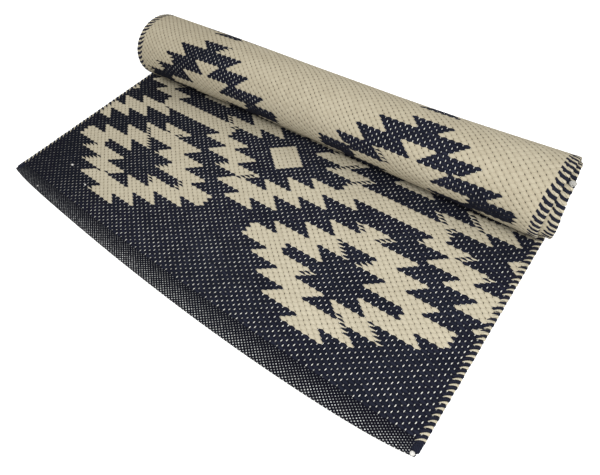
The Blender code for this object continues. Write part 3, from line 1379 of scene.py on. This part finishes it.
@dataclass
class YarnEnds:
    """Small yarn ends: knots at the front right corner and the roll's right rim, and three flecks of lint."""

    plan: PickPlan
    knots: tuple[Knot, ...] = (
        Knot(0.990, -5.5, 0.0028, 0.0034, 0.0011, 0),
        Knot(0.999, 195.5, -0.0045, 0.0052, 0.0015, 1),
        Knot(-0.775, 11.8, 0.0034, 0.0025, 0.0009, 0),
        Knot(-0.620, 8.2, 0.0032, 0.0018, 0.0007, 0),
        Knot(-0.803, -4.6, 0.0022, 0.0013, 0.0006, 0),
    )
    turns: float = 5.0
    steps: int = 90
    sides: int = 6

    def build(self, materials: Sequence[bpy.types.Material]) -> bpy.types.Object:
        """Builds the ends as one joined mesh.

        Args:
            materials: The light yarn and the grey one.

        Returns:
            The piece.
        """
        parts = MeshParts("yarn_ends")
        for knot in self.knots:
            self.add_knot(parts, knot)
        return parts.make(materials)

    def at(self, across: float, pick: float, height: float) -> Array:
        """A point over the middle surface of the cloth, on its reverse where the height is negative."""
        points, _, _, outwards = self.plan.surface(np.array([across, across + 0.002]),
                                                   np.array([pick, pick + 0.05]))
        return points[0, 0] + outwards[0, 0] * height

    def add_knot(self, parts: MeshParts, knot: Knot) -> None:
        """Adds a yarn wound into a ball.

        The strand's middle line is a spiral on a sphere, from pole to pole, whose radius swells and
        shrinks a little three times in each turn. The sphere is flattened.

        Args:
            parts: The mesh so far.
            knot: The ball's place and sizes.
        """
        t = np.linspace(0.0, 1.0, self.steps)
        tilt = np.pi * (0.04 + 0.92 * t)
        turn = FULL_TURN * self.turns * t
        reach = knot.radius * (1.0 + 0.10 * np.sin(3.0 * turn))
        line = np.stack([
            reach * np.sin(tilt) * np.cos(turn),
            reach * np.cos(tilt) * 0.8,
            reach * np.sin(tilt) * np.sin(turn) * 0.85,
        ], -1)
        heading = unit(np.gradient(line, axis=0))
        outwards = unit(line)
        sideways = unit(np.cross(heading, outwards))
        outwards = np.cross(sideways, heading)
        ring = np.linspace(0.0, FULL_TURN, self.sides, endpoint=False)[None, :, None]
        around = np.cos(ring) * outwards[:, None] + np.sin(ring) * sideways[:, None]
        tube = line[:, None] + knot.strand * around
        centre = self.at(knot.across, knot.pick, knot.height)
        parts.add(tube.reshape(-1, 3) + centre, tube_faces(self.steps, self.sides), knot.slot)


@dataclass(frozen=True)
class Panel:
    """One square light panel that faces the origin: its place and size in metres, and its power in watts."""

    name: str
    place: tuple[float, float, float]
    size: float
    power: float


@dataclass(frozen=True)
class Studio:
    """The floor, the soft lights and the camera."""

    floor_size: float = 9.0
    floor_below: float = 0.0002
    floor_colour: Colour = (0.92, 0.92, 0.92, 1.0)
    floor_glow: float = 0.35
    world_colour: Colour = (1.0, 1.0, 1.0, 1.0)
    world_strength: float = 0.66
    panels: tuple[Panel, ...] = (
        Panel("key", (1.4, -1.0, 1.9), 1.0, 48.0),
        Panel("low_front", (0.9, -2.0, 0.7), 1.2, 10.0),
        Panel("above", (-0.5, 0.7, 2.4), 2.2, 18.0),
    )
    camera_place: tuple[float, float, float] = (0.6245, -0.2006, 0.8261)
    camera_yaw: float = -45.11
    camera_pitch: float = 52.64
    camera_roll: float = -9.05
    focal_pixels: float = 473.3
    frame_pixels: float = 600.0
    sensor_width: float = 36.0

    def build(self, shift: Array) -> None:
        """Builds all of it.

        Args:
            shift: From the cloth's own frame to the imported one.
        """
        view = bpy.context.scene.view_settings
        view.view_transform = "Standard"
        view.look = "None"
        self.make_floor()
        self.make_lights()
        self.make_camera(shift)

    def make_floor(self) -> None:
        """A plain pale floor, lit a little from below like a studio's light table."""
        half = self.floor_size / 2.0
        corners = np.array([(-half, -half, 0.0), (half, -half, 0.0), (half, half, 0.0), (-half, half, 0.0)])
        _, shader = new_material("pale_floor", 0.9, 0.0)
        shader.inputs["Base Color"].default_value = self.floor_colour
        shader.inputs["Emission Color"].default_value = self.floor_colour
        shader.inputs["Emission Strength"].default_value = self.floor_glow
        parts = MeshParts("floor")
        parts.add(corners - np.array([0.0, 0.0, self.floor_below]), np.array([[0, 1, 2, 3]]), 0)
        parts.make([bpy.data.materials["pale_floor"]])

    def make_lights(self) -> None:
        """Soft light from all round, and the large panels."""
        world = bpy.data.worlds.new("studio")
        bpy.context.scene.world = world
        world.use_nodes = True
        background = world.node_tree.nodes["Background"]
        background.inputs["Color"].default_value = self.world_colour
        background.inputs["Strength"].default_value = self.world_strength
        for panel in self.panels:
            light = bpy.data.lights.new(panel.name, "AREA")
            light.size = panel.size
            light.energy = panel.power
            lamp = bpy.data.objects.new(panel.name, light)
            bpy.context.scene.collection.objects.link(lamp)
            lamp.location = panel.place
            lamp.rotation_mode = "QUATERNION"
            lamp.rotation_quaternion = Vector(panel.place).to_track_quat("Z", "Y")

    def make_camera(self, shift: Array) -> None:
        """The camera at the photograph's viewpoint.

        Args:
            shift: From the cloth's own frame, which the camera's place is given in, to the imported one.
        """
        yaw, pitch, roll = np.radians([self.camera_yaw, self.camera_pitch, self.camera_roll])
        ahead = np.array([np.sin(yaw) * np.cos(pitch), np.cos(yaw) * np.cos(pitch), -np.sin(pitch)])
        level = np.array([np.cos(yaw), -np.sin(yaw), 0.0])
        upright = np.cross(level, ahead)
        right = level * np.cos(roll) + upright * np.sin(roll)
        up = upright * np.cos(roll) - level * np.sin(roll)
        turned = Matrix([list(row) for row in np.stack([right, up, -ahead], axis=1)])
        data = bpy.data.cameras.new("photo_camera")
        data.sensor_width = self.sensor_width
        data.lens = self.focal_pixels * self.sensor_width / self.frame_pixels
        camera = bpy.data.objects.new("photo_camera", data)
        bpy.context.scene.collection.objects.link(camera)
        place = Vector(np.array(self.camera_place) + shift)
        camera.matrix_world = Matrix.Translation(place) @ turned.to_4x4()
        bpy.context.scene.camera = camera


@dataclass
class KilimRug:
    """The whole rug: its pieces and what they ride on."""

    plan: PickPlan
    colours: YarnColours = YarnColours()

    def build(self) -> None:
        """Builds and dresses every piece, hides the imported panel and attaches the pieces to the root."""
        colours = self.colours
        groups = WeaveGroups(Draft())
        face = WovenFinish("woven_face", Ground.NAVY, cream_tone_and_shade=0.14).make(groups, self.plan)
        # The reverse's larger cream darkening is painted shade for the roll. Its contact picks place the
        # painted shade of the gap under the roll's near side.
        reverse = WovenFinish("woven_reverse", Ground.CREAM, cream_tone_and_shade=0.34,
                              contact_picks=(147.5, 150.5, 175.0)).make(groups, self.plan)
        cut = YarnFinish("cut_edge", colours.cut_edge, colours.band_dot).make()
        cream = YarnFinish("cream_loops", colours.cream, colours.cream_shade).make()
        navy = YarnFinish("navy_loops", colours.navy_light, colours.navy).make()
        lint = YarnFinish("light_lint", colours.lint, colours.cut_edge).make()
        grey = YarnFinish("grey_knot", colours.cut_edge, colours.knot_dark).make()
        cloth = KilimCloth(self.plan).build([face, reverse, cut])
        trims = [SelvedgeLoops(self.plan, side).build([cream, navy]) for side in Side]
        trims.append(YarnEnds(self.plan).build([lint, grey]))
        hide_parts("rug_panel")
        for piece in [cloth, *trims]:
            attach(piece, "root")
            log.info("%s: %d triangles", piece.name, len(piece.data.polygons))


def main() -> None:
    """Builds the studio and the rug."""
    logging.basicConfig(level=logging.INFO, format="%(name)s %(message)s")
    plan = PickPlan(RolledShape())
    Studio().build(plan.shape.shift())
    KilimRug(plan).build()


if __name__ == "__main__":
    main()
